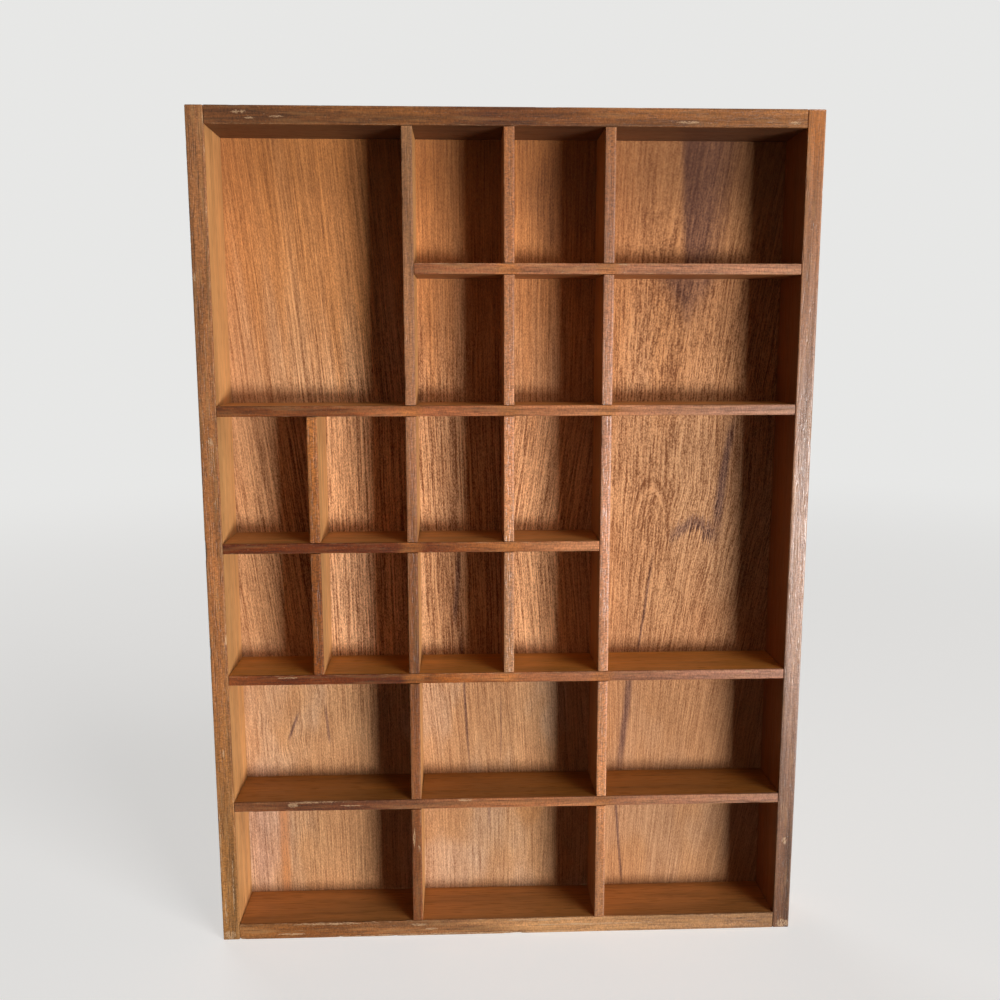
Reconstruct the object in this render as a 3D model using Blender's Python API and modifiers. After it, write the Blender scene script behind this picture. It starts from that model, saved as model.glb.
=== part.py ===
"""Compartment display case in teak, made in the manner of a printer's tray.

Two stiles and two rails hold an egg-crate lattice of uprights and shelves on a grid of six
columns and six rows, with some dividers left out to give larger cells. A plywood back sits in
a recess in the frame and is pinned from behind, with two sawtooth hangers near its top edge.
The case stands on its bottom edge, front towards -Y, with its origin at the middle of its base.
"""
import math

import bmesh
import bpy
from mathutils import Matrix, Vector

# Driving dimensions, in metres
COLUMNS = 6
ROWS = 6
CELL_WIDTH = 0.050
CELL_HEIGHT = 0.073
CELL_DEPTH = 0.037
STILE_THICKNESS = 0.010
RAIL_THICKNESS = 0.010
UPRIGHT_THICKNESS = 0.006
SHELF_THICKNESS = 0.006
PANEL_THICKNESS = 0.004
PANEL_LAP = 0.005
EASED_EDGE = 0.0006
EASE_SEGMENTS = 2
FIT_GAP = 0.0003

NAIL_SIDES = 12
POINT_TO_RADIUS = 3
BRAD_LENGTH = 0.030
BRAD_RADIUS = 0.0007
BRAD_HEAD_RADIUS = 0.0012
BRAD_HEAD_HEIGHT = 0.0010
BRAD_INSET = 0.010

PIN_LENGTH = 0.015
PIN_RADIUS = 0.0006
PIN_HEAD_RADIUS = 0.0011
PIN_HEAD_HEIGHT = 0.0008
PINS_UP_EACH_SIDE = 4
PINS_ALONG_EACH_END = 4

HANGER_SPACING = 0.150
HANGER_LENGTH = 0.045
HANGER_HEIGHT = 0.009
HANGER_GAUGE = 0.0008
HANGER_STANDOFF = 0.0012
HANGER_TAB = 0.009
HANGER_RAMP = 0.002
HANGER_TEETH = 8
TOOTH_PITCH = 0.0025
TOOTH_DEPTH = 0.0016
TOOTH_LAND = 0.0002
HANGER_NAIL_LENGTH = 0.014
HANGER_NAIL_RADIUS = 0.0007
HANGER_NAIL_HEAD_RADIUS = 0.0016
HANGER_NAIL_HEAD_HEIGHT = 0.0007

# Sizes that follow from them
INNER_WIDTH = COLUMNS * CELL_WIDTH + (COLUMNS - 1) * UPRIGHT_THICKNESS
INNER_HEIGHT = ROWS * CELL_HEIGHT + (ROWS - 1) * SHELF_THICKNESS
CASE_WIDTH = INNER_WIDTH + 2 * STILE_THICKNESS
CASE_HEIGHT = INNER_HEIGHT + 2 * RAIL_THICKNESS
CASE_DEPTH = CELL_DEPTH + FIT_GAP + PANEL_THICKNESS
HANGER_PROUD = FIT_GAP + HANGER_STANDOFF + HANGER_GAUGE
NAIL_PROUD = FIT_GAP + HANGER_GAUGE + FIT_GAP + HANGER_NAIL_HEAD_HEIGHT

FRONT = -(CASE_DEPTH + max(HANGER_PROUD, NAIL_PROUD)) / 2
HALVING = FRONT + CELL_DEPTH / 2
CELL_BACK = FRONT + CELL_DEPTH
BACK = FRONT + CASE_DEPTH
SIDE = CASE_WIDTH / 2
INNER_SIDE = INNER_WIDTH / 2
OVERSHOOT = 0.002

# Lattice: grid lines count from the left stile and from the top rail
UPRIGHTS = {
    "upright_1": {"column": 1, "rows": (2, 4)},
    "upright_2": {"column": 2, "rows": (0, ROWS)},
    "upright_3": {"column": 3, "rows": (0, 4)},
    "upright_4": {"column": 4, "rows": (0, ROWS)},
}
SHELVES = {
    "shelf_1": {"row": 1, "columns": (2, COLUMNS)},
    "shelf_2": {"row": 2, "columns": (0, COLUMNS)},
    "shelf_3": {"row": 3, "columns": (0, 4)},
    "shelf_4": {"row": 4, "columns": (0, COLUMNS)},
    "shelf_5": {"row": 5, "columns": (0, COLUMNS)},
}

# Finishes: colour, roughness, metallic
FINISHES = {
    "left_stile_teak": ((0.33, 0.17, 0.07), 0.55, 0.0),
    "right_stile_teak": ((0.29, 0.14, 0.07), 0.55, 0.0),
    "rail_teak": ((0.27, 0.12, 0.05), 0.55, 0.0),
    "upright_teak": ((0.34, 0.17, 0.08), 0.55, 0.0),
    "shelf_teak": ((0.25, 0.10, 0.045), 0.50, 0.0),
    "panel_veneer": ((0.31, 0.14, 0.05), 0.50, 0.0),
    "nail_steel": ((0.24, 0.22, 0.20), 0.55, 0.9),
    "hanger_brass": ((0.62, 0.45, 0.18), 0.40, 1.0),
}


def clear_scene():
    """Remove whatever the opened scene holds."""
    for old in list(bpy.data.objects):
        bpy.data.objects.remove(old, do_unlink=True)


def new_collection(name):
    """Add a collection under the scene's own."""
    collection = bpy.data.collections.new(name)
    bpy.context.scene.collection.children.link(collection)
    return collection


def finish_material(name):
    """Principled material for one finish."""
    material = bpy.data.materials.get(name)
    if material:
        return material
    colour, roughness, metallic = FINISHES[name]
    material = bpy.data.materials.new(name)
    material.use_nodes = True
    shader = material.node_tree.nodes["Principled BSDF"]
    shader.inputs["Base Color"].default_value = (*colour, 1.0)
    shader.inputs["Roughness"].default_value = roughness
    shader.inputs["Metallic"].default_value = metallic
    material.diffuse_color = (*colour, 1.0)
    return material


def column_line(line):
    """Left and right faces of a grid line: a stile at either end, an upright between."""
    if line == 0:
        return -SIDE, -INNER_SIDE
    if line == COLUMNS:
        return INNER_SIDE, SIDE
    left = -INNER_SIDE + line * CELL_WIDTH + (line - 1) * UPRIGHT_THICKNESS
    return left, left + UPRIGHT_THICKNESS


def row_line(line):
    """Lower and upper faces of a grid line: a rail at either end, a shelf between."""
    if line == 0:
        return CASE_HEIGHT - RAIL_THICKNESS, CASE_HEIGHT
    if line == ROWS:
        return 0.0, RAIL_THICKNESS
    upper = CASE_HEIGHT - RAIL_THICKNESS - line * CELL_HEIGHT - (line - 1) * SHELF_THICKNESS
    return upper - SHELF_THICKNESS, upper


def box_mesh(name, low, high, eased=()):
    """Box with its listed edges rounded; an edge is named by the way its middle lies from the centre."""
    mesh = bpy.data.meshes.new(name)
    shape = bmesh.new()
    bmesh.ops.create_cube(shape, size=2.0)
    rounded = []
    for edge in shape.edges:
        middle = (edge.verts[0].co + edge.verts[1].co) / 2
        if tuple(round(value) for value in middle) in eased:
            rounded.append(edge)
    bmesh.ops.scale(shape, vec=(high - low) / 2, verts=shape.verts)
    if rounded:
        bmesh.ops.bevel(
            shape, geom=rounded, affect='EDGES',
            offset=EASED_EDGE, segments=EASE_SEGMENTS, profile=0.5,
        )
    shape.to_mesh(mesh)
    shape.free()
    return mesh


def add_board(name, low, high, eased, finish):
    """One planed board between two corners, in the parts collection."""
    low, high = Vector(low), Vector(high)
    board = bpy.data.objects.new(name, box_mesh(name, low, high, eased))
    board.location = (low + high) / 2
    board.data.materials.append(finish_material(finish))
    parts.objects.link(board)
    return board


def add_cutter(name, data, matrix):
    """A tool for a Boolean cut, kept out of the model."""
    cutter = bpy.data.objects.new(name, data)
    cutter.matrix_world = matrix
    cutter.hide_render = True
    cutter.display_type = 'WIRE'
    cutters.objects.link(cutter)
    return cutter


def box_cutter(name, low, high):
    """Box-shaped cutter between two corners."""
    low, high = Vector(low), Vector(high)
    return add_cutter(name, box_mesh(name, low, high), Matrix.Translation((low + high) / 2))


def cut(board, cutter):
    """Subtract a cutter from a board."""
    boolean = board.modifiers.new(cutter.name, 'BOOLEAN')
    boolean.operation = 'DIFFERENCE'
    boolean.solver = 'EXACT'
    boolean.object = cutter


def turned_mesh(name, profile):
    """Solid of revolution about Z from a profile of (radius, height) that runs from top to bottom."""
    outline = bpy.data.meshes.new(name + "_profile")
    points = [(radius, 0.0, height) for radius, height in profile]
    outline.from_pydata(points, [(i, i + 1) for i in range(len(points) - 1)], [])
    holder = bpy.data.objects.new(name + "_profile", outline)
    bpy.context.scene.collection.objects.link(holder)
    screw = holder.modifiers.new("turn", 'SCREW')
    screw.steps = NAIL_SIDES
    screw.render_steps = NAIL_SIDES
    screw.use_merge_vertices = True
    screw.merge_threshold = 0.00001
    bpy.context.view_layer.update()
    mesh = bpy.data.meshes.new_from_object(holder.evaluated_get(bpy.context.evaluated_depsgraph_get()))
    mesh.name = name
    bpy.data.objects.remove(holder, do_unlink=True)
    bpy.data.meshes.remove(outline)
    mesh.shade_smooth()
    mesh.set_sharp_from_angle(angle=math.radians(35))
    return mesh


def nail_profile(length, radius, head_radius, head_height):
    """A nail with its head's top at height 0 and its point straight down."""
    return [
        (0.0, 0.0),
        (head_radius, 0.0),
        (head_radius, -head_height),
        (radius, -head_height),
        (radius, POINT_TO_RADIUS * radius - length),
        (0.0, -length),
    ]


def sunk_hole_profile(length, radius, head_radius, head_height):
    """The hole of a nail whose head lies flush, wider by the fit gap and open past the head."""
    return [
        (0.0, OVERSHOOT),
        (head_radius + FIT_GAP, OVERSHOOT),
        (head_radius + FIT_GAP, -head_height - FIT_GAP),
        (radius + FIT_GAP, -head_height - FIT_GAP),
        (radius + FIT_GAP, -length - FIT_GAP),
        (0.0, -length - FIT_GAP),
    ]


def shank_hole_profile(length, radius):
    """The plain hole of a nail whose head stands on what it holds."""
    return [
        (0.0, OVERSHOOT),
        (radius + FIT_GAP, OVERSHOOT),
        (radius + FIT_GAP, -length - FIT_GAP),
        (0.0, -length - FIT_GAP),
    ]


def drive_nails(stem, profile, hole, places, boards):
    """Drive like nails at (head centre, facing) places, and bore all their holes in the boards at once."""
    nail_mesh = turned_mesh(stem, profile)
    hole_mesh = turned_mesh(stem + "_hole", hole)
    nail_mesh.materials.append(finish_material("nail_steel"))
    bores = bmesh.new()
    for number, (head, facing) in enumerate(places, start=1):
        turn = Vector((0, 0, 1)).rotation_difference(Vector(facing)).to_matrix().to_4x4()
        nail = bpy.data.objects.new(f"{stem}_{number}", nail_mesh)
        nail.matrix_world = Matrix.Translation(head) @ turn
        parts.objects.link(nail)
        bore = hole_mesh.copy()
        bore.transform(nail.matrix_world)
        bores.from_mesh(bore)
        bpy.data.meshes.remove(bore)
    bores.to_mesh(hole_mesh)
    bores.free()
    cutter = add_cutter(stem + "_holes", hole_mesh, Matrix())
    for board in boards:
        cut(board, cutter)


# Edges named by direction: the front and back arrises of boards that stand or lie
STANDING_FRONT = ((-1, -1, 0), (1, -1, 0))
LYING_FRONT = ((0, -1, -1), (0, -1, 1))


def add_stile(name, side, finish):
    """Full-height side of the frame, eased along its front, its outer back and its ends."""
    ends = [(x, y, z) for z in (-1, 1) for x, y in ((0, -1), (side, 0), (0, 1))]
    eased = (*STANDING_FRONT, (side, 1, 0), *ends)
    inner, outer = sorted((side * INNER_SIDE, side * SIDE))
    return add_board(name, (inner, FRONT, 0.0), (outer, BACK, CASE_HEIGHT), eased, finish)


def add_rail(name, line, outer):
    """Rail that fits between the stiles, eased along its front and its outer back."""
    low, high = row_line(line)
    reach = INNER_SIDE - FIT_GAP
    eased = (*LYING_FRONT, (0, 1, outer))
    return add_board(name, (-reach, FRONT, low), (reach, BACK, high), eased, "rail_teak")


def add_upright(name, column, rows):
    """Standing divider from the underside of one row line to the top of another."""
    left, right = column_line(column)
    top = row_line(rows[0])[0] - FIT_GAP
    bottom = row_line(rows[1])[1] + FIT_GAP
    return add_board(name, (left, FRONT, bottom), (right, CELL_BACK, top), STANDING_FRONT, "upright_teak")


def add_shelf(name, row, columns):
    """Lying divider from the right face of one column line to the left face of another."""
    low, high = row_line(row)
    left = column_line(columns[0])[1] + FIT_GAP
    right = column_line(columns[1])[0] - FIT_GAP
    return add_board(name, (left, FRONT, low), (right, CELL_BACK, high), LYING_FRONT, "shelf_teak")


def halve(upright, shelf, column, row):
    """Cross-halving joint: the upright is notched from the front and the shelf from behind."""
    left, right = column_line(column)
    low, high = row_line(row)
    name = f"{upright.name}_{shelf.name}"
    front_notch = box_cutter(
        name + "_front",
        (left - OVERSHOOT, FRONT - OVERSHOOT, low - FIT_GAP),
        (right + OVERSHOOT, HALVING + FIT_GAP / 2, high + FIT_GAP),
    )
    back_notch = box_cutter(
        name + "_back",
        (left - FIT_GAP, HALVING - FIT_GAP / 2, low - OVERSHOOT),
        (right + FIT_GAP, CELL_BACK + OVERSHOOT, high + OVERSHOOT),
    )
    cut(upright, front_notch)
    cut(shelf, back_notch)


def spread(count, length):
    """Evenly spaced places along a length, half a step in from its ends."""
    return [length * (i + 0.5) / count - length / 2 for i in range(count)]


def hanger_strip():
    """Open strip of a sawtooth hanger: flat end tabs, and a bridge between that stands off the wood."""
    half = HANGER_LENGTH / 2
    rise = half - HANGER_TAB
    bridge = rise - HANGER_RAMP
    plan = [(-half, 0.0), (-rise, 0.0), (-bridge, HANGER_STANDOFF)]
    plan += [(-x, y) for x, y in reversed(plan)]
    mesh = bpy.data.meshes.new("hanger")
    shape = bmesh.new()
    verts = [shape.verts.new((x, y, HANGER_HEIGHT / 2)) for x, y in plan]
    edges = [shape.edges.new(pair) for pair in zip(verts, verts[1:])]
    drawn = bmesh.ops.extrude_edge_only(shape, edges=edges)["geom"]
    lower = [item for item in drawn if isinstance(item, bmesh.types.BMVert)]
    bmesh.ops.translate(shape, vec=(0, 0, -HANGER_HEIGHT), verts=lower)
    shape.normal_update()
    bmesh.ops.reverse_faces(shape, faces=[face for face in shape.faces if face.normal.y < 0])
    shape.to_mesh(mesh)
    shape.free()
    mesh.materials.append(finish_material("hanger_brass"))
    return mesh


def tooth_cutter_mesh():
    """Zigzag prism, along Y, that cuts the teeth in the lower edge of a hanger's bridge."""
    edge = -HANGER_HEIGHT / 2
    land = edge - TOOTH_LAND
    half = HANGER_TEETH * TOOTH_PITCH / 2
    outline = [(half, edge - TOOTH_DEPTH), (-half, edge - TOOTH_DEPTH), (-half, land)]
    for x in spread(HANGER_TEETH, 2 * half):
        outline += [(x, edge + TOOTH_DEPTH), (x + TOOTH_PITCH / 2, land)]
    reach = HANGER_STANDOFF + HANGER_GAUGE + OVERSHOOT
    mesh = bpy.data.meshes.new("hanger_teeth")
    shape = bmesh.new()
    face = shape.faces.new([shape.verts.new((x, -OVERSHOOT, z)) for x, z in outline])
    swept = bmesh.ops.extrude_face_region(shape, geom=[face])["geom"]
    far = [item for item in swept if isinstance(item, bmesh.types.BMVert)]
    bmesh.ops.translate(shape, vec=(0, OVERSHOOT + reach, 0), verts=far)
    bmesh.ops.recalc_face_normals(shape, faces=shape.faces)
    shape.to_mesh(mesh)
    shape.free()
    return mesh


def add_hanger(name, x, z):
    """One sawtooth hanger on the back, a fit gap off the wood."""
    hanger = bpy.data.objects.new(name, hanger_strip())
    hanger.location = (x, BACK + FIT_GAP, z)
    parts.objects.link(hanger)
    gauge = hanger.modifiers.new("gauge", 'SOLIDIFY')
    gauge.thickness = HANGER_GAUGE
    gauge.offset = 1.0
    gauge.use_even_offset = True
    cut(hanger, add_cutter(name + "_teeth", tooth_cutter_mesh(), Matrix.Translation(hanger.location)))
    return hanger


clear_scene()
parts = new_collection("compartment_display_case")
cutters = new_collection("cutters")

# Frame: the rails butt between the stiles, and all four are recessed behind for the back panel
left_stile = add_stile("left_stile", -1, "left_stile_teak")
right_stile = add_stile("right_stile", 1, "right_stile_teak")
top_rail = add_rail("top_rail", 0, 1)
bottom_rail = add_rail("bottom_rail", ROWS, -1)
recess_side = INNER_SIDE + PANEL_LAP
recess_bottom = RAIL_THICKNESS - PANEL_LAP
recess_top = CASE_HEIGHT - recess_bottom
recess = box_cutter(
    "panel_recess",
    (-recess_side, CELL_BACK, recess_bottom),
    (recess_side, BACK + OVERSHOOT, recess_top),
)
frame_boards = (left_stile, right_stile, top_rail, bottom_rail)
for frame_board in frame_boards:
    cut(frame_board, recess)

# Back panel: plywood that fills the recess, flush with the back of the frame
back_panel = add_board(
    "back_panel",
    (FIT_GAP - recess_side, CELL_BACK + FIT_GAP, recess_bottom + FIT_GAP),
    (recess_side - FIT_GAP, BACK, recess_top - FIT_GAP),
    (),
    "panel_veneer",
)

# Lattice: every upright that a shelf crosses is halved into it
uprights = {name: add_upright(name, **place) for name, place in UPRIGHTS.items()}
shelves = {name: add_shelf(name, **place) for name, place in SHELVES.items()}
for upright_name, upright in uprights.items():
    column = UPRIGHTS[upright_name]["column"]
    first_row, last_row = UPRIGHTS[upright_name]["rows"]
    for shelf_name, shelf in shelves.items():
        row = SHELVES[shelf_name]["row"]
        first_column, last_column = SHELVES[shelf_name]["columns"]
        if first_row < row < last_row and first_column < column < last_column:
            halve(upright, shelf, column, row)

# Corner brads: two through each end of each stile into the rail
brad_places = []
for side in (-1, 1):
    for height in (RAIL_THICKNESS / 2, CASE_HEIGHT - RAIL_THICKNESS / 2):
        for depth in (FRONT + BRAD_INSET, CELL_BACK - BRAD_INSET):
            brad_places.append(((side * SIDE, depth, height), (side, 0, 0)))
BRAD = (BRAD_LENGTH, BRAD_RADIUS, BRAD_HEAD_RADIUS, BRAD_HEAD_HEIGHT)
drive_nails("corner_brad", nail_profile(*BRAD), sunk_hole_profile(*BRAD), brad_places, frame_boards)

# Panel pins: along the middle of the panel's lap, from behind into the frame
pin_side = INNER_SIDE + PANEL_LAP / 2
pin_bottom = RAIL_THICKNESS - PANEL_LAP / 2
pin_top = CASE_HEIGHT - pin_bottom
pin_places = []
for x in (-pin_side, pin_side):
    for z in spread(PINS_UP_EACH_SIDE, INNER_HEIGHT):
        pin_places.append(((x, BACK, CASE_HEIGHT / 2 + z), (0, 1, 0)))
for z in (pin_bottom, pin_top):
    for x in spread(PINS_ALONG_EACH_END, INNER_WIDTH):
        pin_places.append(((x, BACK, z), (0, 1, 0)))
PIN = (PIN_LENGTH, PIN_RADIUS, PIN_HEAD_RADIUS, PIN_HEAD_HEIGHT)
drive_nails("panel_pin", nail_profile(*PIN), sunk_hole_profile(*PIN), pin_places, (back_panel, *frame_boards))

# Hangers: nailed at both tabs through the back panel into the top rail
hangers = []
nail_places = []
for name, side in (("left_hanger", -1), ("right_hanger", 1)):
    hangers.append(add_hanger(name, side * HANGER_SPACING / 2, pin_top))
    for tab in (-1, 1):
        x = (side * HANGER_SPACING + tab * (HANGER_LENGTH - HANGER_TAB)) / 2
        nail_places.append(((x, BACK + NAIL_PROUD, pin_top), (0, 1, 0)))
NAIL = (HANGER_NAIL_LENGTH, HANGER_NAIL_RADIUS, HANGER_NAIL_HEAD_RADIUS, HANGER_NAIL_HEAD_HEIGHT)
hanger_hole = shank_hole_profile(HANGER_NAIL_LENGTH, HANGER_NAIL_RADIUS)
drive_nails("hanger_nail", nail_profile(*NAIL), hanger_hole, nail_places, (back_panel, top_rail, *hangers))
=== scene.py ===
"""Dressed compartment display case: a teak frame round an egg-crate lattice, with a veneered back."""
import math

import bmesh
import bpy
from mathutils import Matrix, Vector


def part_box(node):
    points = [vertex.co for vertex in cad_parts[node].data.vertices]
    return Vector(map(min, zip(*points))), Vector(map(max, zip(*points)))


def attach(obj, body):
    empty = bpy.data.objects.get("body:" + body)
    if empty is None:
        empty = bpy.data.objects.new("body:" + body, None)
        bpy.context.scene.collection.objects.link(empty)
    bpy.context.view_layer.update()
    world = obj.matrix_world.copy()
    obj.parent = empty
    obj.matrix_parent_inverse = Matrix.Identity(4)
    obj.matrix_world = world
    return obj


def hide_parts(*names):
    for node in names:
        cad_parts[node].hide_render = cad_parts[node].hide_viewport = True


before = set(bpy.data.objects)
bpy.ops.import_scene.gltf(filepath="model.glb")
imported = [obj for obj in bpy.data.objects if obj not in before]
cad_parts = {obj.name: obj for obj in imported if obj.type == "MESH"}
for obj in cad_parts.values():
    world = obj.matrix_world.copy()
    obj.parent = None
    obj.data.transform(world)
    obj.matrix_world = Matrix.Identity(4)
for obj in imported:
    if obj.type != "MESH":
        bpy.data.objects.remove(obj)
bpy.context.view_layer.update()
bpy.context.scene.view_settings.view_transform = 'Standard'

# Stiles: the two full-height sides of the frame, of 10 mm teak with the grain upright, bradded to the rails.
# The sawn front edges have dulled and taken knocks, and the inner faces, smoothed with the plane, are
# golden on the left stile. The faces turned from the light, the left one's outer face and the right one's
# inner face, are painted darker, as shade.
# Each is shown by a finely sliced copy of its solid, whose arrises a Geometry Nodes tree wears round.


class Shade:
    """One socket of a node tree: arithmetic on it adds Math nodes, and any other node comes from node()."""

    def __init__(self, socket):
        self.socket = socket

    def node(self, kind, settings, sockets, output=0):
        made = self.socket.id_data.nodes.new(kind)
        for name, value in settings.items():
            if name == "stops":
                ramp = made.color_ramp
                while len(ramp.elements) < len(value):
                    ramp.elements.new(1.0)
                for element, (place, colour) in zip(ramp.elements, value):
                    element.position = place
                    element.color = (*colour, 1.0)
            elif name == "points":
                curve = made.mapping.curves[0]
                curve.points[0].location = value[0]
                curve.points[1].location = value[-1]
                for point in value[1:-1]:
                    curve.points.new(*point)
                made.mapping.update()
            else:
                setattr(made, name, value)
        for name, value in sockets.items():
            if isinstance(value, Shade):
                made.id_data.links.new(value.socket, made.inputs[name])
            elif made.inputs[name].type == 'RGBA':
                made.inputs[name].default_value = (*value, 1.0)
            else:
                made.inputs[name].default_value = value
        if isinstance(output, tuple):
            return [Shade(made.outputs[name]) for name in output]
        return Shade(made.outputs[output])

    def math(self, operation, first, second=0.0):
        return self.node("ShaderNodeMath", {"operation": operation}, {0: first, 1: second})

    def vector(self, operation, first, second):
        return self.node("ShaderNodeVectorMath", {"operation": operation}, {0: first, 1: second})

    def at_least(self, other):
        return self.math('MAXIMUM', self, other)

    def at_most(self, other):
        return self.math('MINIMUM', self, other)

    def __add__(self, other):
        return self.math('ADD', self, other)

    def __radd__(self, other):
        return self.math('ADD', other, self)

    def __sub__(self, other):
        return self.math('SUBTRACT', self, other)

    def __rsub__(self, other):
        return self.math('SUBTRACT', other, self)

    def __mul__(self, other):
        return self.math('MULTIPLY', self, other)

    def __rmul__(self, other):
        return self.math('MULTIPLY', other, self)

    def __truediv__(self, other):
        return self.math('DIVIDE', self, other)

    def __pow__(self, other):
        return self.math('POWER', self, other)

    def __abs__(self):
        return self.math('ABSOLUTE', self)


def rise(value, low, high):
    """0 below one value and 1 above another, with a soft step between."""
    settings = {"interpolation_type": 'SMOOTHSTEP'}
    return value.node("ShaderNodeMapRange", settings, {"Value": value, "From Min": low, "From Max": high})


def blend(first, second, share):
    """From one colour to another by a share."""
    return share.node("ShaderNodeMix", {"data_type": 'RGBA'}, {0: share, 6: first, 7: second}, 2)


def scale(colour, amount):
    """A colour made darker or lighter."""
    return colour.node("ShaderNodeVectorMath", {"operation": 'SCALE'}, {0: colour, "Scale": amount})


def fibres(along, across, depth, seed, pull, spread, detail):
    """Noise drawn out along the grain: pull and spread are cycles a metre along it and across it."""
    sockets = {0: along * pull + seed, 1: across * spread + seed * 0.7, 2: depth * spread}
    place = along.node("ShaderNodeCombineXYZ", {}, sockets)
    return place.node("ShaderNodeTexNoise", {}, {"Vector": place, "Scale": 1.0, "Detail": detail}, "Fac")


def object_axes(finish):
    """X, Y and Z of a material's own Object coordinates."""
    place = Shade(finish.node_tree.nodes.new("ShaderNodeTexCoord").outputs["Object"])
    return place.node("ShaderNodeSeparateXYZ", {}, {0: place}, (0, 1, 2))


def surface(finish, colour, roughness, height, relief):
    """Give a finish its colour, its roughness, and the fine relief of its surface in metres."""
    shader = finish.node_tree.nodes["Principled BSDF"]
    link = finish.node_tree.links.new
    link(colour.socket, shader.inputs["Base Color"])
    link(roughness.socket, shader.inputs["Roughness"])
    bump = height.node("ShaderNodeBump", {}, {"Height": height, "Strength": 1.0, "Distance": relief})
    link(bump.socket, shader.inputs["Normal"])


def patch(first, second, middle, reach):
    """Soft oval on a face, 1 in its middle and 0 past its reach."""
    u = (first - middle[0]) / reach[0]
    v = (second - middle[1]) / reach[1]
    return 1 - rise(u * u + v * v, 0.2, 1.0)


def worn_arrises():
    """Geometry Nodes tree that rounds a board's outer arrises, and more where they were rubbed or knocked."""
    tree = bpy.data.node_groups.new("worn_arrises", 'GeometryNodeTree')
    inputs = [("Board", "Geometry"), ("Low corner", "Vector"), ("High corner", "Vector"),
              ("Cycles a metre", "Vector"), ("Seed", "Float"), ("Wear", "Float"), ("Rounding", "Float"),
              ("Rub", "Float"), ("Knock", "Float"), ("Finish", "Material")]
    for name, kind in inputs:
        tree.interface.new_socket(name, in_out='INPUT', socket_type="NodeSocket" + kind)
    tree.interface.new_socket("Board", in_out='OUTPUT', socket_type="NodeSocketGeometry")
    given = tree.nodes.new("NodeGroupInput").outputs[:len(inputs)]
    board, low, high, cycles, seed, wear, rounding, rub, knock, finish = [Shade(socket) for socket in given]

    # Each point past an inner box, smaller by the radius at that spot, is drawn in to that radius from it.
    place = board.node("GeometryNodeInputPosition", {}, {})
    spot = place.vector('ADD', place.vector('MULTIPLY', place, cycles), seed)
    rubs = spot.node("ShaderNodeTexNoise", {}, {"Vector": spot, "Scale": 0.35, "Detail": 1.0}, 0)
    knocks = spot.node("ShaderNodeTexNoise", {}, {"Vector": spot, "Scale": 1.0, "Detail": 2.0}, 0)
    radius = rounding + wear * (rise(rubs, 0.35, 0.75) * rub + rise(knocks, 0.62, 0.70) * knock)
    inner = place.vector('MAXIMUM', place, low.vector('ADD', low, radius))
    inner = place.vector('MINIMUM', inner, high.vector('SUBTRACT', high, radius))
    out = place.vector('SUBTRACT', place, inner)
    reach = out.node("ShaderNodeVectorMath", {"operation": 'LENGTH'}, {0: out}, 1)
    kept = (radius / reach.at_least(0.000001)).at_most(1.0)
    drawn_in = inner.vector('ADD', inner, scale(out, kept))

    # The depth of wood lost is kept for the finish, which is bare there.
    lost = {"Name": "wear", "Value": rise(reach * (1 - kept), 0.00003, 0.00045)}
    board = board.node("GeometryNodeStoreNamedAttribute", {}, {"Geometry": board, **lost})
    board = board.node("GeometryNodeSetPosition", {}, {"Geometry": board, "Position": drawn_in})
    crease = board.node("GeometryNodeInputMeshEdgeAngle", {}, {})
    soft = crease.math('LESS_THAN', crease, 0.6)
    board = board.node("GeometryNodeSetShadeSmooth", {"domain": 'FACE'}, {0: board, 2: True})
    board = board.node("GeometryNodeSetShadeSmooth", {"domain": 'EDGE'}, {0: board, 2: soft})
    board = board.node("GeometryNodeRealizeInstances", {}, {0: board})
    board = board.node("GeometryNodeSetMaterial", {}, {"Geometry": board, "Material": finish})
    tree.links.new(board.socket, tree.nodes.new("NodeGroupOutput").inputs[0])
    return tree


def sliced(work, faces, axis, places):
    """Cut faces across an axis at each place, the middle one first and then each half by itself."""
    if not places:
        return
    half = len(places) // 2
    normal = Vector([float(axis == step) for step in range(3)])
    edges = {edge for face in faces for edge in face.edges}
    corners = {corner for face in faces for corner in face.verts}
    cut = bmesh.ops.bisect_plane(work, geom=[*corners, *edges, *faces], plane_co=normal * places[half],
                                 plane_no=normal, dist=0.0000005)
    pieces = [face for face in cut["geom"] if isinstance(face, bmesh.types.BMFace)]
    near = [face for face in pieces if face.calc_center_median()[axis] < places[half]]
    far = [face for face in pieces if face.calc_center_median()[axis] >= places[half]]
    sliced(work, near, axis, places[:half])
    sliced(work, far, axis, places[half + 1:])


wear_tree = worn_arrises()
slice_length = 0.0013
arris_cuts = (0.0012, 0.0019)
wear_depths = {"Rounding": 0.0005, "Rub": 0.0003, "Knock": 0.0015}
wear_along, wear_across = 70.0, 260.0
past_wear = 0.01


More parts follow.
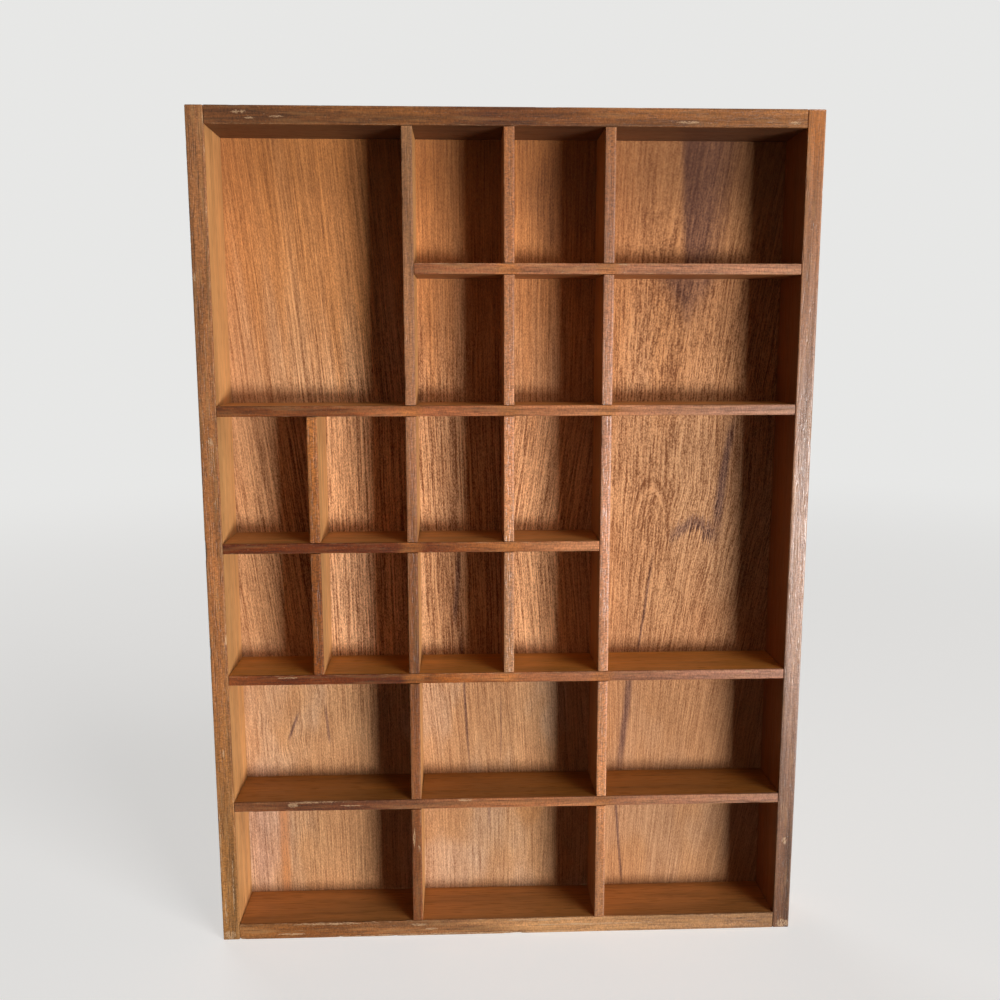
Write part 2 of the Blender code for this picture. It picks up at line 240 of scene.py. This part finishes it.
def worn_board(node, grain, slot, finish, wear, seed):
    """Copy of a board in fine slices, worn by the tree, that stands for the solid.

    Ends that butt on another board, and backs that lie on the panel, stay square."""
    low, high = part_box(node)
    work = bmesh.new()
    work.from_mesh(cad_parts[node].data)
    bmesh.ops.remove_doubles(work, verts=work.verts, dist=0.000001)
    bmesh.ops.dissolve_limit(work, angle_limit=0.002, verts=work.verts, edges=work.edges)
    lengthways = "XYZ".index(grain)
    for axis in range(3):
        length = high[axis] - low[axis]
        if axis == lengthways:
            count = round(length / slice_length)
            places = [low[axis] + length * step / count for step in range(1, count)]
        else:
            places = [low[axis] + cut for cut in arris_cuts]
            places = places + [high[axis] - cut for cut in reversed(arris_cuts)]
        sliced(work, work.faces[:], axis, places)
    mesh = bpy.data.meshes.new(node + "_worn")
    work.to_mesh(mesh)
    work.free()
    board = bpy.data.objects.new(node + "_worn", mesh)
    bpy.context.scene.collection.objects.link(board)
    modifier = board.modifiers.new("wear", 'NODES')
    modifier.node_group = wear_tree
    if "stile" not in node:
        butted = Vector([past_wear * (axis == lengthways) for axis in range(3)])
        low, high = low - butted, high + butted
    if slot != "frame_teak":
        high = high + Vector((0.0, past_wear, 0.0))
    cycles = [wear_along if axis == lengthways else wear_across for axis in range(3)]
    sizes = {"Low corner": low, "High corner": high, "Cycles a metre": cycles, "Seed": seed, "Wear": wear,
             "Finish": finish, **wear_depths}
    for item in wear_tree.interface.items_tree:
        if item.in_out == 'INPUT' and item.name in sizes:
            modifier[item.identifier] = sizes[item.name]
    depsgraph = bpy.context.evaluated_depsgraph_get()
    worn = board.evaluated_get(depsgraph)
    shape = bpy.data.meshes.new_from_object(worn, preserve_all_data_layers=True, depsgraph=depsgraph)
    board.modifiers.remove(modifier)
    board.data = shape
    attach(board, "root")
    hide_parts(node)


warm_joint = (0.46, 0.155, 0.035)
faded_edge = (0.50, 0.26, 0.10)
bare_wood = (0.60, 0.37, 0.20)


def teak(node, slot, grain, tones, shaded_and_lit_faces, seed, streaky=1.0, speckled=0.5, worn=0.4, gloss=0.0,
         marks=(), joints=()):
    """Solid teak for one board, with tones along its front edge and a tone for each broad face, the face
    turned from the light painted darker, as shade.

    Marks are pale knocks on the front edge: place along, place across, half length and half width.
    Joints are the places along it where another board crosses, and the finish there has stayed warm."""
    low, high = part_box(node)
    wood = bpy.data.materials.new(node + "_teak")
    wood.use_nodes = True
    wood.node_tree.nodes["Principled BSDF"].inputs["Specular IOR Level"].default_value = 0.3 + gloss * 0.35
    x, y, z = object_axes(wood)
    if grain == "X":
        along, across = x, z
        start, end, side, other_side = low.x, high.x, low.z, high.z
    else:
        along, across = z, x
        start, end, side, other_side = low.z, high.z, low.x, high.x
    bands = fibres(along, across, y, seed=seed, pull=10, spread=120, detail=1)
    streaks = fibres(along, across, y, seed=seed + 3.1, pull=22, spread=620, detail=2)
    pores = rise(fibres(along, across, y, seed=seed + 5.7, pull=110, spread=1500, detail=0), 0.56, 0.74)
    specks = fibres(along, across, y, seed=seed + 8.3, pull=1300, spread=800, detail=1)
    chips = fibres(along, across, y, seed=seed + 11.9, pull=260, spread=1900, detail=2)
    fades = fibres(along, across, y, seed=seed + 14.2, pull=42, spread=400, detail=2)
    nicks = fibres(along, across, y, seed=seed + 17.3, pull=700, spread=2400, detail=2)

    # The front edge has its tones in turn, and each broad face its own tone, darker on the face turned from
    # the light as painted shade.
    front = 1 - rise(y, low.y + 0.0004, low.y + 0.0018)
    share = (along - start) / (end - start) + (bands - 0.5) * 0.22
    edge = share.node("ShaderNodeValToRGB", {"stops": tones}, {0: share}, "Color")
    for place in joints:
        away = abs(along - place + (streaks - 0.5) * 0.01)
        edge = blend(edge, warm_joint, (1 - rise(away, 0.003, 0.009)) * 0.55)
    faces = blend(shaded_and_lit_faces[0], shaded_and_lit_faces[1], rise((across - side) / (other_side - side), 0.3, 0.7))
    colour = blend(faces, edge, front)

    # Grain, stronger on the sawn edge than on the planed faces.
    light = 1 + (bands - 0.5) * (0.75 + front * 0.45) + (streaks - 0.5) * (0.6 + front * 0.8) * streaky
    light = light + (fades - 0.5) * (1 - front) * 0.35
    light = light * (1 - pores * (0.2 + front * 0.1) * streaky)
    light = light * (1 + (specks - 0.5) * 2.4 * speckled * front)
    colour = scale(colour, light * (1 - front * worn * 0.1))
    colour = blend(colour, faded_edge, rise(fades, 0.48, 0.68) * front * worn * 0.35)

    # Bare wood at the arrises, in nicks over the edge, where the shape is worn, and at the marks.
    arris = (across - side).at_most(other_side - across) + (y - low.y)
    rubbed = rise(chips + bands * 0.4 - arris * 420, 0.48, 0.78) * worn
    rubbed = rubbed.at_least(rise(chips, 0.70, 0.78) * front * worn)
    rubbed = rubbed.at_least(rise(nicks, 0.64, 0.76) * front * worn * 0.6)
    lost = along.node("ShaderNodeAttribute", {"attribute_name": "wear"}, {}, "Fac")
    rubbed = rubbed.at_least(rise(lost + chips * 0.5, 0.75, 1.2) * 0.8)
    for place, place_across, half_length, half_width in marks:
        spot = patch(along, across, (place, place_across), (half_length, half_width))
        ragged = rise(nicks * 0.6 + chips * 0.4 + spot * 0.16, 0.57, 0.71)
        rubbed = rubbed.at_least(ragged * rise(spot, 0.0, 0.3) * front * 0.68)
    colour = blend(colour, bare_wood, rubbed)
    roughness = 0.35 - gloss * 0.09 + (streaks - 0.5) * 0.25 + pores * 0.12 + (1 - front) * 0.14
    roughness = roughness + rubbed * 0.2 + (1 - rise(arris, 0.0003, 0.0011)) * 0.35
    height = (streaks * 0.4 - pores * 0.5 + specks * 0.25 * speckled - rubbed * 0.6) * (0.3 + front * 0.7)
    surface(wood, colour, roughness, height, relief=0.00022)
    worn_board(node, grain, slot, wood, worn, seed)


teak("left_stile", slot="frame_teak", grain="Z", seed=2.0, speckled=0.6, worn=0.75,
     tones=[(0.0, (0.40, 0.172, 0.046)), (0.45, (0.36, 0.13, 0.040)), (1.0, (0.33, 0.13, 0.045))],
     shaded_and_lit_faces=[(0.34, 0.140, 0.044), (0.57, 0.280, 0.100)],
     marks=[(0.306, -0.169, 0.003, 0.002), (0.438, -0.1745, 0.003, 0.0012), (0.397, -0.1735, 0.003, 0.001),
            (0.003, -0.171, 0.004, 0.005), (0.12, -0.170, 0.004, 0.001), (0.035, -0.1675, 0.022, 0.0007),
            (0.065, -0.1740, 0.030, 0.0006), (0.018, -0.1725, 0.012, 0.0008)])
# Its front tone is paler and greyer at mid-height, partly a painted sheen on top of the real sheen from its
# gloss.
teak("right_stile", slot="frame_teak", grain="Z", seed=3.0, streaky=0.6, worn=0.5, gloss=1.0,
     tones=[(0.0, (0.13, 0.042, 0.010)), (0.45, (0.35, 0.185, 0.115)), (1.0, (0.31, 0.096, 0.012))],
     shaded_and_lit_faces=[(0.22, 0.066, 0.014), (0.34, 0.140, 0.044)],
     marks=[(0.058, 0.170, 0.003, 0.002), (0.003, 0.171, 0.004, 0.005)])

# Rails: the top and bottom of the frame, of the same 10 mm teak with the grain level. They butt between
# the stiles and are held by two brads at each end. The bottom one is the most rubbed board of the case.
# The top rail's underside is painted darker, as the shade under it.
teak("top_rail", slot="frame_teak", grain="X", seed=4.0, worn=0.35,
     tones=[(0.0, (0.15, 0.050, 0.014)), (0.35, (0.20, 0.068, 0.016)), (0.45, (0.12, 0.034, 0.008)),
            (0.55, (0.21, 0.066, 0.016)), (1.0, (0.30, 0.110, 0.028))],
     shaded_and_lit_faces=[(0.13, 0.050, 0.020), (0.33, 0.135, 0.042)],
     marks=[(-0.146, 0.4845, 0.005, 0.0012), (-0.140, 0.4815, 0.004, 0.0008), (-0.126, 0.482, 0.005, 0.0007),
            (0.098, 0.4805, 0.008, 0.0008), (0.158, 0.4805, 0.004, 0.0012)])
teak("bottom_rail", slot="frame_teak", grain="X", seed=5.0, worn=0.9,
     tones=[(0.0, (0.34, 0.132, 0.036)), (0.15, (0.22, 0.070, 0.014)), (0.4, (0.34, 0.14, 0.050)),
            (0.55, (0.62, 0.30, 0.118)), (1.0, (0.30, 0.145, 0.062))],
     shaded_and_lit_faces=[(0.42, 0.17, 0.050), (0.43, 0.175, 0.046)],
     marks=[(-0.11, 0.0092, 0.030, 0.0010), (-0.055, 0.0075, 0.007, 0.0010), (-0.048, 0.0045, 0.005, 0.0008),
            (0.02, 0.0090, 0.030, 0.0012), (-0.02, 0.0008, 0.12, 0.0010), (0.05, 0.0055, 0.05, 0.0008),
            (-0.135, 0.0030, 0.012, 0.0008)])

# Uprights: the standing dividers of the lattice, of 6 mm teak with the grain upright. Each is notched
# halfway from the front where a shelf crosses it. Their left faces, turned from the light, are painted
# darker than their right faces, as shade.
upright_shaded_and_lit_faces = [(0.36, 0.135, 0.038), (0.56, 0.268, 0.094)]
teak("upright_1", slot="upright_teak", grain="Z", seed=6.0, speckled=0.9, shaded_and_lit_faces=upright_shaded_and_lit_faces,
     tones=[(0.0, (0.25, 0.065, 0.010)), (1.0, (0.37, 0.125, 0.030))])
teak("upright_2", slot="upright_teak", grain="Z", seed=7.0, streaky=0.5, speckled=0.6, shaded_and_lit_faces=upright_shaded_and_lit_faces,
     tones=[(0.0, (0.21, 0.060, 0.014)), (0.5, (0.25, 0.085, 0.028)), (0.6, (0.355, 0.138, 0.060)),
            (1.0, (0.34, 0.150, 0.060))],
     marks=[(0.064, -0.0575, 0.008, 0.001), (0.058, -0.0545, 0.003, 0.001)])
teak("upright_3", slot="upright_teak", grain="Z", seed=8.0, streaky=0.35, speckled=0.8, gloss=0.6,
     shaded_and_lit_faces=upright_shaded_and_lit_faces,
     tones=[(0.0, (0.57, 0.25, 0.105)), (0.5, (0.50, 0.19, 0.075)), (1.0, (0.35, 0.112, 0.028))])
# Its paler, greyer tone above the middle of its front is partly a painted sheen, on top of the real sheen
# from its gloss.
teak("upright_4", slot="upright_teak", grain="Z", seed=9.0, streaky=0.35, speckled=0.8, gloss=1.1,
     shaded_and_lit_faces=upright_shaded_and_lit_faces,
     tones=[(0.0, (0.34, 0.13, 0.042)), (0.2, (0.52, 0.195, 0.066)), (0.65, (0.50, 0.210, 0.110)),
            (1.0, (0.30, 0.095, 0.020))])

# Shelves: the lying dividers of the lattice, of 6 mm teak with the grain level. Each is notched halfway
# from behind where an upright crosses it, so its front edge runs through. The tops are more golden, and
# the undersides are painted darker, as the shade under them.
underside_painted_shade, shelf_top = (0.30, 0.11, 0.034), (0.44, 0.178, 0.045)
crossings = (-0.056, 0.0, 0.056)
# The paler, greyer tones at the right ends of shelves 1, 2, 4 and 5 are partly a painted sheen.
teak("shelf_1", slot="shelf_teak", grain="X", seed=10.6, worn=0.6, shaded_and_lit_faces=[underside_painted_shade, shelf_top],
     tones=[(0.0, (0.32, 0.103, 0.036)), (1.0, (0.42, 0.175, 0.085))],
     marks=[(0.065, 0.4045, 0.005, 0.001)], joints=crossings[1:])
teak("shelf_2", slot="shelf_teak", grain="X", seed=11.0, shaded_and_lit_faces=[underside_painted_shade, shelf_top],
     tones=[(0.0, (0.185, 0.049, 0.010)), (0.25, (0.20, 0.052, 0.012)), (0.35, (0.46, 0.140, 0.048)),
            (0.65, (0.51, 0.190, 0.073)), (1.0, (0.38, 0.180, 0.110))],
     joints=crossings)
teak("shelf_3", slot="shelf_teak", grain="X", seed=12.0, shaded_and_lit_faces=[underside_painted_shade, shelf_top],
     tones=[(0.0, (0.155, 0.027, 0.002)), (0.5, (0.175, 0.033, 0.004)), (0.7, (0.33, 0.098, 0.022)),
            (1.0, (0.46, 0.175, 0.070))],
     joints=crossings[:2])
teak("shelf_4", slot="shelf_teak", grain="X", seed=13.0, shaded_and_lit_faces=[underside_painted_shade, (0.46, 0.180, 0.034)],
     tones=[(0.0, (0.26, 0.065, 0.014)), (0.1, (0.135, 0.024, 0.002)), (0.28, (0.145, 0.027, 0.003)),
            (0.38, (0.32, 0.088, 0.014)), (1.0, (0.38, 0.168, 0.100))],
     marks=[(-0.130, 0.1665, 0.008, 0.0007), (0.143, 0.167, 0.003, 0.001)], joints=crossings)
teak("shelf_5", slot="shelf_teak", grain="X", seed=14.0, shaded_and_lit_faces=[underside_painted_shade, (0.32, 0.120, 0.022)],
     tones=[(0.0, (0.23, 0.075, 0.022)), (0.15, (0.16, 0.045, 0.015)), (0.3, (0.22, 0.075, 0.028)),
            (0.5, (0.46, 0.160, 0.055)), (1.0, (0.32, 0.143, 0.083))],
     marks=[(-0.116, 0.0885, 0.022, 0.0009), (-0.0265, 0.0885, 0.006, 0.0014), (-0.13, 0.087, 0.004, 0.002),
            (-0.095, 0.0860, 0.010, 0.0006)],
     joints=crossings[2:])

# Back panel: thin plywood faced with flat-cut teak veneer, grain upright, pinned in a recess behind the
# lattice. The veneer is fine and straight at the left, coarse in the middle and flamed at the right,
# with dark mineral streaks, and the sheet has a plain backing veneer behind.
panel = bpy.data.materials.new("panel_veneer")
panel.use_nodes = True
panel.node_tree.nodes["Principled BSDF"].inputs["Specular IOR Level"].default_value = 0.15
x, y, z = object_axes(panel)
case_height, clear_width = 0.488, 0.330

# Parts of the sheet that differ in their figure.
coarse = patch(x, z, (-0.060, 0.255), (0.120, 0.145)) + patch(x, z, (-0.028, 0.245), (0.034, 0.100)) * 0.2
coarse = coarse - patch(x, z, (-0.084, 0.245), (0.034, 0.100)) * 0.35
waved = patch(x, z, (0.115, 0.29), (0.075, 0.19))
straight = patch(x, z, (-0.12, 0.41), (0.10, 0.17))
swirl = patch(x, z, (-0.132, 0.128), (0.040, 0.048))
upper = rise(z, 0.14, 0.19)
flecked = rise(x, 0.056, 0.080) * rise(z, 0.321, 0.324)

# Run of the grain: how far across it each place lies, with ripples and with a slant in some of the bays,
# given by left, right, foot, head and slope. The changes of slant lie behind the dividers.
ripple = fibres(z, x, y, seed=21.0, pull=22, spread=70, detail=1)
eddy = fibres(z, x, y, seed=35.0, pull=60, spread=60, detail=1)
run = x * (1.08 - z * 0.26) + (ripple - 0.5) * (0.0010 + waved * 0.0022) + (eddy - 0.5) * swirl * 0.0045
run = run - rise(x, 0.05, 0.13) * (z.at_most(0.27) - 0.16) * 0.16
slanted_bays = [(-0.170, -0.057, 0.321, 0.480, 0.06), (-0.170, -0.113, 0.163, 0.321, 0.09),
                (-0.057, -0.001, 0.163, 0.321, 0.03), (-0.001, 0.055, 0.242, 0.321, -0.14),
                (-0.001, 0.055, 0.163, 0.242, 0.09), (-0.057, 0.055, 0.084, 0.163, 0.08),
                (0.055, 0.170, 0.084, 0.163, 0.05)]
seam = 0.003
for left, right, foot, head, slope in slanted_bays:
    inside = rise(x, left, left + seam) * (1 - rise(x, right, right + seam))
    inside = inside * rise(z, foot, foot + seam) * (1 - rise(z, head, head + seam))
    run = run + inside * (z - (foot + head) / 2) * slope
run = run - rise(x, 0.070, 0.165) * (z - 0.335).at_least(0.0) * 0.12

# Figure: broad bands, lines, hairs and ever shorter flecks along the run, and nested loops in the flame.
bands = fibres(z, run, y, seed=22.0, pull=3, spread=70, detail=1)
lines = fibres(z, run, y, seed=24.0, pull=9, spread=800, detail=2)
hairs = fibres(z, run, y, seed=23.0, pull=8, spread=1000, detail=0)
dashes = fibres(z, run, y, seed=25.0, pull=45, spread=1250, detail=1)
ticks = fibres(z, run, y, seed=26.0, pull=190, spread=1350, detail=1)
grit = fibres(z, run, y, seed=28.0, pull=950, spread=1900, detail=0)
mottle = fibres(z, x, y, seed=29.0, pull=14, spread=30, detail=2)
flame_x, flame_z = 0.0895, 0.250
arch = (z - flame_z).at_least(0.0) * 0.40
bow = x - flame_x
ring = (bow * bow + arch * arch) ** 0.5 + (ripple - 0.5) * 0.0012
flame = patch(x, z, (flame_x, flame_z), (0.019, 0.046))
loops = fibres(z, ring, y, seed=27.0, pull=10, spread=620, detail=1)
line_depth = 0.39 + upper * 0.31 + coarse * 1.1 - straight * 0.2 - swirl * 0.2
level = 0.53 + (bands - 0.5) * 0.2 + (lines - 0.5) * line_depth
level = level + (hairs - 0.5) * (0.2 + straight * 0.3 + flecked * 0.3)
level = level * (1 - flame * 0.7) + (0.43 + (loops - 0.5) * 2.3) * flame * 0.7
fine_depth = 0.76 + upper * 0.19 + coarse * 0.5 + waved * 0.7
flecks = (dashes - 0.5) * (1.1 - straight * 0.2) + (ticks - 0.5) * (0.35 + flecked * 0.45)
level = level + (flecks + (grit - 0.5) * (0.8 - straight * 0.15)) * fine_depth

# Tone of the pale wood: from red-brown at the top to straw at the foot, with soft patches, given by
# colour, middle, reach and strength, and with upright strips that are lighter or darker.
share = 1 - z / case_height + (bands - 0.5) * 0.4 - (x + 0.1) * 0.3
veneer_tones = [(0.0, (0.76, 0.300, 0.086)), (0.18, (0.79, 0.345, 0.120)), (0.32, (0.81, 0.435, 0.210)),
                (1.0, (0.82, 0.455, 0.215))]
pale = share.node("ShaderNodeValToRGB", {"stops": veneer_tones}, {0: share}, "Color")
brown, straw = (0.60, 0.240, 0.085), (0.88, 0.600, 0.390)
pale = blend(pale, brown, rise(mottle, 0.44, 0.70) * (0.25 + waved * 0.45) + flame * 0.3)
pale = blend(pale, straw, (1 - rise(mottle, 0.36, 0.52)) * (1 - upper) * 0.5)
soft_patches = [((0.86, 0.58, 0.46), (-0.156, 0.055), (0.020, 0.050), 0.4),
                ((0.90, 0.66, 0.48), (-0.040, 0.026), (0.035, 0.022), 0.35),
                ((0.74, 0.33, 0.10), (0.015, 0.070), (0.012, 0.022), 0.5),
                ((0.90, 0.56, 0.33), (-0.084, 0.205), (0.040, 0.050), 0.4),
                ((0.72, 0.34, 0.14), (0.112, 0.125), (0.060, 0.050), 0.35),
                ((0.66, 0.30, 0.125), (0.085, 0.195), (0.055, 0.050), 0.4),
                ((0.56, 0.22, 0.080), (0.085, 0.445), (0.045, 0.050), 0.4)]
for tone, middle, reach, strength in soft_patches:
    pale = blend(pale, tone, patch(x, z, middle, reach) * strength)
strip_light = [(0.0, 0.44), (0.12, 0.48), (0.24, 0.55), (0.31, 0.55), (0.37, 0.45), (0.47, 0.44),
               (0.54, 0.55), (0.64, 0.54), (0.72, 0.48), (1.0, 0.45)]
strips = share.node("ShaderNodeFloatCurve", {"points": strip_light}, {"Value": x / clear_width + 0.5})
pale = scale(pale, (1 + (strips - 0.5) * (0.7 + upper * 1.3)) * (1.02 - x * 0.7))
# The two upper bays between the third and fourth uprights are made a fifth darker.
pale = scale(pale, 1 - rise(z, 0.321, 0.324) * rise(x, 0.0, 0.01) * (1 - rise(x, 0.052, 0.058)) * 0.20)
# Painted shade under the top rail: the top of the top-left bay is darkened.
pale = scale(pale, 1 - rise(z, 0.42, 0.475) * (1 - rise(x, -0.060, -0.054)) * 0.2)
pale = blend(pale, (0.64, 0.315, 0.135), rise(x, 0.052, 0.060) * 0.5)
# Painted shade under the top rail: the top of the top row is darkened, from the right part of the top-left
# bay onwards.
pale = scale(pale, 1 - rise(z, 0.40, 0.47) * rise(x, -0.09, -0.05) * 0.33)

# Crown: the broad dark stain at the upper right, which narrows to a point below the shelf.
drop = 0.476 - z
crown = rise(x + (ripple - 0.5) * 0.004, 0.100 + drop * 0.05, 0.106 + drop * 0.05) * rise(z, 0.355, 0.420)
crown = crown * (1 - rise(x + (lines - 0.5) * 0.006, 0.122 - drop * 0.13, 0.152 - drop * 0.25))
point = rise(z - abs(x - 0.109) * 1.5 + (dashes - 0.5) * 0.014, 0.362, 0.386) * (1 - rise(z, 0.400, 0.404))
crown = crown.at_least(point * 0.85)
level = level + (0.5 - level) * crown * 0.4
dark_wood = (0.20, 0.072, 0.026)
colour = blend(dark_wood, pale, level)


def stain(centre, half, foot, head, strength):
    """Upright mineral streak in the veneer, soft at its sides and ends."""
    sides = 1 - rise(abs(x - centre + (ripple - 0.5) * half) / half, 0.2, 1.0)
    fade = (head - foot) * 0.3
    return sides * rise(z, foot, foot + fade) * (1 - rise(z, head - fade, head)) * strength


# Saddle: the folded stain beside the flame. It, the streaks and a smudge all grey the wood as the crown does.
fold = 0.251 - abs(x - 0.118) * 0.65 + (ripple - 0.5) * 0.014 + (lines - 0.5) * 0.02 + (dashes - 0.5) * 0.014
saddle = (1 - rise(abs(z - fold), 0.001, 0.0075)) * patch(x, z, (0.117, 0.247), (0.020, 0.022)) * 0.9
smudge = patch(x, z, (0.036, 0.445), (0.028, 0.036)) * 0.4
shade = crown.at_least(saddle).at_least(smudge)
bend = (z - 0.25) / 0.064
streaks = [stain(0.1325 + bend * bend * 0.0075, half=0.0045, foot=0.235, head=0.325, strength=1.0),
           stain(0.0895 + (z - 0.215) * 0.13, half=0.0012, foot=0.140, head=0.240, strength=0.85),
           stain(0.0785 - (0.149 - z) * 0.10, half=0.0034, foot=0.080, head=0.180, strength=0.9),
           stain(0.071 + (0.064 - z) * 0.09, half=0.0013, foot=0.000, head=0.085, strength=0.9),
           stain(-0.1565, half=0.0075, foot=0.000, head=0.090, strength=0.22),
           stain(-0.135 + (z - 0.121) * 0.35, half=0.0014, foot=0.110, head=0.133, strength=0.95),
           stain(-0.113 - (z - 0.121) * 0.10, half=0.0013, foot=0.107, head=0.139, strength=0.9),
           stain(-0.0275 + (0.16 - z) * 0.06, half=0.0012, foot=0.086, head=0.190, strength=0.9),
           stain(-0.0035, half=0.0009, foot=0.092, head=0.146, strength=0.6),
           stain(-0.011, half=0.0013, foot=0.045, head=0.100, strength=0.5),
           stain(-0.031 + (z - 0.21) * 0.06, half=0.0025, foot=0.180, head=0.240, strength=0.7)]
for streak in streaks:
    shade = shade.at_least(streak)
shade = shade * (1.2 - level * 0.5)
orange = scale(blend(colour, (0.70, 0.24, 0.05), level), 0.95)
colour = blend(colour, orange, stain(-0.1425, half=0.0045, foot=-0.02, head=0.10, strength=0.85))
tint = {0: 1.0, 6: scale(colour, 0.36), 7: (1.0, 0.93, 1.35)}
grey = colour.node("ShaderNodeMix", {"data_type": 'RGBA', "blend_type": 'MULTIPLY'}, tint, 2)
colour = blend(colour, grey, shade)

# Backing veneer on the rear face.
back = rise(y, 0.0172, 0.0184)
figure = fibres(z, x + (ripple - 0.5) * 0.002, y, seed=33.0, pull=3, spread=60, detail=3)
pith = fibres(z, x, y, seed=34.0, pull=30, spread=900, detail=2)
backing = scale(blend((0.36, 0.205, 0.10), (0.58, 0.37, 0.205), rise(figure, 0.25, 0.75)), 0.75 + pith * 0.5)
colour = blend(colour, backing, back)
height = level + (pith - level) * back
surface(panel, colour, 0.72 - height * 0.25, height, relief=0.00012)


def dress(node, finish):
    """Put a finish on every slot of a solid."""
    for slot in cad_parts[node].material_slots:
        slot.material = finish


dress("back_panel", panel)

# Nails: bright steel wire, dulled, with a little rust where the lacquer never reached. Brads go through the
# stiles into the rails, pins hold the back panel, and two short nails hold each hanger.
nail = bpy.data.materials.new("nail_steel")
nail.use_nodes = True
nail.node_tree.nodes["Principled BSDF"].inputs["Metallic"].default_value = 1.0
x, y, z = object_axes(nail)
rust = rise(fibres(z, x, y, seed=30.0, pull=900, spread=900, detail=3), 0.52, 0.66)
filed = fibres(z, x, y, seed=31.0, pull=500, spread=6000, detail=2)
steel = blend((0.46, 0.45, 0.43), (0.17, 0.085, 0.045), rust * 0.7)
steel = scale(steel, 0.8 + filed * 0.4)
surface(nail, steel, 0.34 + filed * 0.15 + rust * 0.3, filed * 0.4 - rust, relief=0.0001)
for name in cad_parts:
    if "brad" in name or "pin" in name or "nail" in name:
        dress(name, nail)

# Hangers: sawtooth strips stamped from thin steel, brassed and since tarnished. Each is nailed to the back
# of the top rail, with its teeth down so that a wall nail can sit between two of them.
brass = bpy.data.materials.new("hanger_brass")
brass.use_nodes = True
brass.node_tree.nodes["Principled BSDF"].inputs["Metallic"].default_value = 1.0
x, y, z = object_axes(brass)
rolled = fibres(x, z, y, seed=40.0, pull=120, spread=4000, detail=3)
tarnish = rise(fibres(x, z, y, seed=41.0, pull=150, spread=220, detail=4), 0.45, 0.68)
plate = blend((0.66, 0.47, 0.20), (0.29, 0.19, 0.085), tarnish)
plate = scale(plate, 0.85 + rolled * 0.3)
surface(brass, plate, 0.26 + rolled * 0.14 + tarnish * 0.24, rolled, relief=0.00006)
dress("left_hanger", brass)
dress("right_hanger", brass)

# Floor: a wide pale sheet that the case stands on. It is matt, fades into the air behind the case, keeps
# the shadow near it, and throws little light back up.
floor_reach = 30
floor_mesh = bpy.data.meshes.new("floor")
corners = [(-floor_reach, -floor_reach, 0), (floor_reach, -floor_reach, 0),
           (floor_reach, floor_reach, 0), (-floor_reach, floor_reach, 0)]
floor_mesh.from_pydata(corners, [], [(0, 1, 2, 3)])
floor = bpy.data.objects.new("floor", floor_mesh)
bpy.context.scene.collection.objects.link(floor)
sheet = bpy.data.materials.new("floor_sheet")
sheet.use_nodes = True


def seen_by_eye(tree):
    """1 for what the camera sees, by itself or in metal or glass, and 0 for light that lands elsewhere."""
    path = tree.nodes.new("ShaderNodeLightPath")
    seen = Shade(path.outputs["Is Camera Ray"]) + Shade(path.outputs["Is Glossy Ray"])
    return seen + Shade(path.outputs["Is Transmission Ray"])


black, pale_air = (0.0, 0.0, 0.0), (0.80, 0.80, 0.79)
seen = seen_by_eye(sheet.node_tree)
x, y, z = object_axes(sheet)
far = rise((x * x + y * y) ** 0.5, 0.6, 2.4)
near_colour = blend((0.07, 0.065, 0.06), (0.62, 0.61, 0.60), seen)
sheet_colour = blend(near_colour, black, far)
near_glow = blend(black, (0.56, 0.555, 0.545), seen)
glow = blend(near_glow, blend(black, pale_air, seen), far)
sheet_shader = sheet.node_tree.nodes["Principled BSDF"]
sheet.node_tree.links.new(sheet_colour.socket, sheet_shader.inputs["Base Color"])
sheet.node_tree.links.new(glow.socket, sheet_shader.inputs["Emission Color"])
sheet_shader.inputs["Emission Strength"].default_value = 1.0
sheet_shader.inputs["Specular IOR Level"].default_value = 0.0
sheet_shader.inputs["Roughness"].default_value = 0.9
floor_mesh.materials.append(sheet)
floor.visible_shadow = False

# Light: a wide soft source from the right at the height of the floor, a weaker one above it,
# and one behind the case for its back and left side. The air is pale to the eye and gives little light.
world = bpy.data.worlds.new("studio")
bpy.context.scene.world = world
world.use_nodes = True
seen = seen_by_eye(world.node_tree)
air = blend((0.008, 0.008, 0.008), pale_air, seen)
world.node_tree.links.new(air.socket, world.node_tree.nodes["Background"].inputs["Color"])


def softbox(name, azimuth, height, distance, width, length, watts):
    """Area lamp at a height above the floor that faces the middle of the case."""
    lamp = bpy.data.lights.new(name, 'AREA')
    lamp.shape = 'RECTANGLE'
    lamp.size = width
    lamp.size_y = length
    lamp.energy = watts
    box = bpy.data.objects.new(name, lamp)
    turn = math.radians(azimuth)
    box.location = (math.sin(turn) * distance, -math.cos(turn) * distance, height)
    away = box.location - Vector((0, 0, case_height / 2))
    box.rotation_euler = away.to_track_quat('Z', 'Y').to_euler()
    box.visible_camera = False
    bpy.context.scene.collection.objects.link(box)


softbox("low_softbox", azimuth=39.8, height=-0.21, distance=3.0, width=1.15, length=0.52, watts=102)
softbox("high_softbox", azimuth=40.5, height=2.4, distance=2.2, width=1.10, length=1.6, watts=30)
softbox("back_softbox", azimuth=208, height=1.0, distance=6.0, width=3.6, length=1.6, watts=200)

# Camera: at the photograph's place before the case, a little left of its middle and above it,
# looking slightly down, with a plain lens and everything sharp.
lens = bpy.data.cameras.new("camera")
lens.lens = 35.39
lens.sensor_width = 36
camera = bpy.data.objects.new("camera", lens)
camera.location = (-0.02604, -0.58196, 0.35786)
camera.rotation_euler = [math.radians(turn) for turn in (81.255, 0.067, -2.138)]
bpy.context.scene.collection.objects.link(camera)
bpy.context.scene.camera = camera
